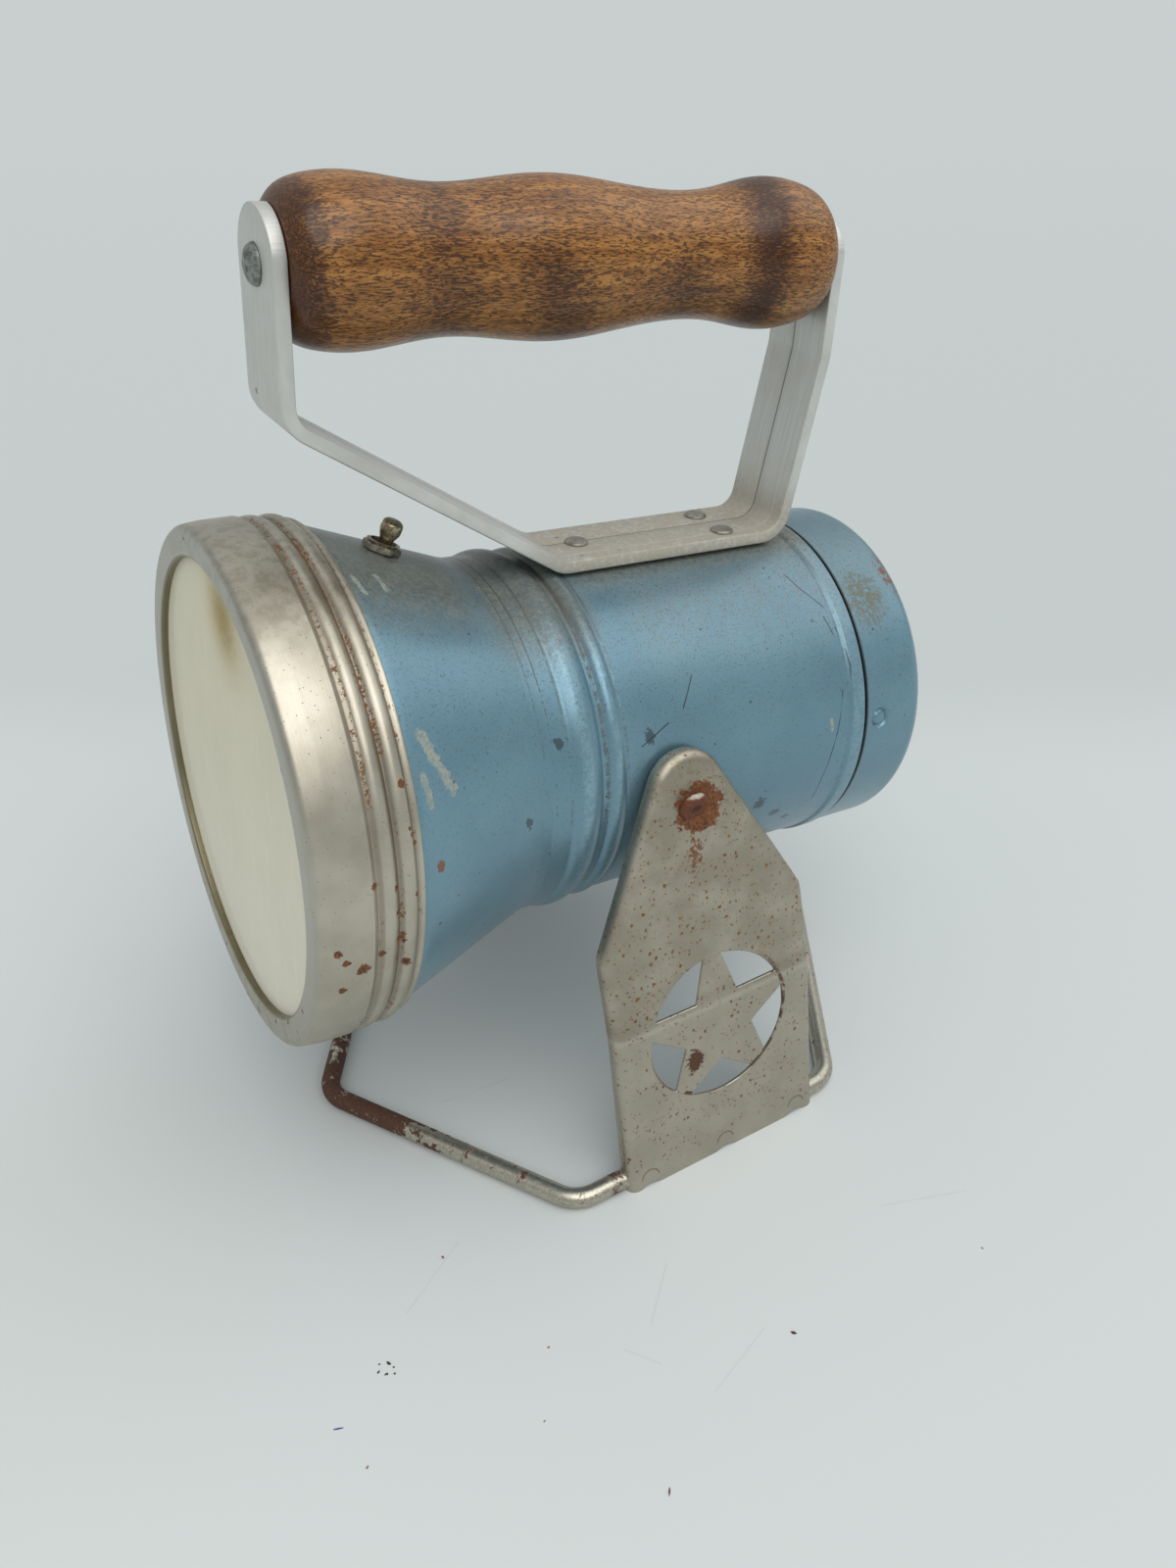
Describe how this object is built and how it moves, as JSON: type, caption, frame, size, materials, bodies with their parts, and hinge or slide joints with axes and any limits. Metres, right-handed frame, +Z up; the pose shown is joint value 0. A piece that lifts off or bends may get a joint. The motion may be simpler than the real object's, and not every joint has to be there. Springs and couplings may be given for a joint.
{
  "type": "lantern flashlight",
  "caption": "Hand lantern with a conical lamp head, flat bar handle with turned grip, and a tilting wire stand with two star-pierced side plates.",
  "frame": {"origin": "centre of the stand's footprint on the floor, below the tilt pivot", "axes": "+Z up, the lamp shines along -Y, +X along the tilt axis to the side with the plate seen in the picture"},
  "size_m": [0.141, 0.1799, 0.2321],
  "materials": {
    "nickel": "satin worn nickel plate",
    "rivet_steel": "rusted",
    "enamel": "glossy metallic blue enamel",
    "spring": "bright",
    "board": "matte",
    "brass": "worn",
    "black": "matte",
    "battery": "satin",
    "bar_alu": "brushed",
    "rivet_alu": "worn",
    "wood": "gloss varnish",
    "bolt": "satin",
    "glass": "polished",
    "rubber": "matte",
    "reflector": "satin",
    "bulb": "polished",
    "ring_plate": "satin plated sheet",
    "paper": "matte"
  },
  "bodies": {
    "stand": {"base_wire": "nickel", "side_plate_right": "nickel", "side_plate_left": "nickel", "pivot_rivets": "rivet_steel"},
    "lamp": {"lamp_shell": "enamel", "pivot_bushings": "spring", "contact_board": "board", "centre_contact": "brass", "corner_contact": "brass", "switch_case": "black", "switch_nut": "nickel", "battery_case": "battery", "battery_lid": "black", "centre_spring": "spring", "corner_spring": "spring", "handle_bar": "bar_alu", "bar_rivets": "rivet_alu", "grip": "wood", "grip_bolt": "bolt", "grip_nut": "bolt"},
    "lever": {"switch_lever": "brass"},
    "lens_group": {"glass": "glass", "gasket": "rubber", "reflector": "reflector", "bulb_holder": "brass", "bulb_base": "brass", "bulb_globe": "bulb"},
    "ring": {"lens_ring": "ring_plate"},
    "cap": {"rear_cap": "enamel", "cap_liner": "paper"}
  },
  "joints": [
    {"name": "lamp_tilt", "type": "hinge", "parent": "stand", "child": "lamp", "pos_m": [0, 0, 0.09738], "axis": [1, 0, 0], "range_deg": [-30, 18]},
    {"name": "ring_turn", "type": "hinge", "parent": "lens_group", "child": "ring", "pos_m": [0, -0.0817, 0.10439], "axis": [0, -0.9963, 0.0854], "range_deg": [0, 720]},
    {"name": "ring_advance", "type": "slide", "parent": "lamp", "child": "lens_group", "axis": [0, -0.9963, 0.0854], "range_m": [0, 0.008]},
    {"name": "cap_turn", "type": "hinge", "parent": "lamp", "child": "cap", "pos_m": [0, 0.06775, 0.09157], "axis": [0, 0.9963, -0.0854], "range_deg": [-25, 0]},
    {"name": "switch_throw", "type": "hinge", "parent": "lamp", "child": "lever", "pos_m": [0, -0.05066, 0.15287], "axis": [0, 0.9045, -0.4265], "range_deg": [-24, 0]}
  ],
  "couplings": [
    {"joint": "ring_advance", "follows": "ring_turn", "m_per_rad": 0.00063662}
  ]
}
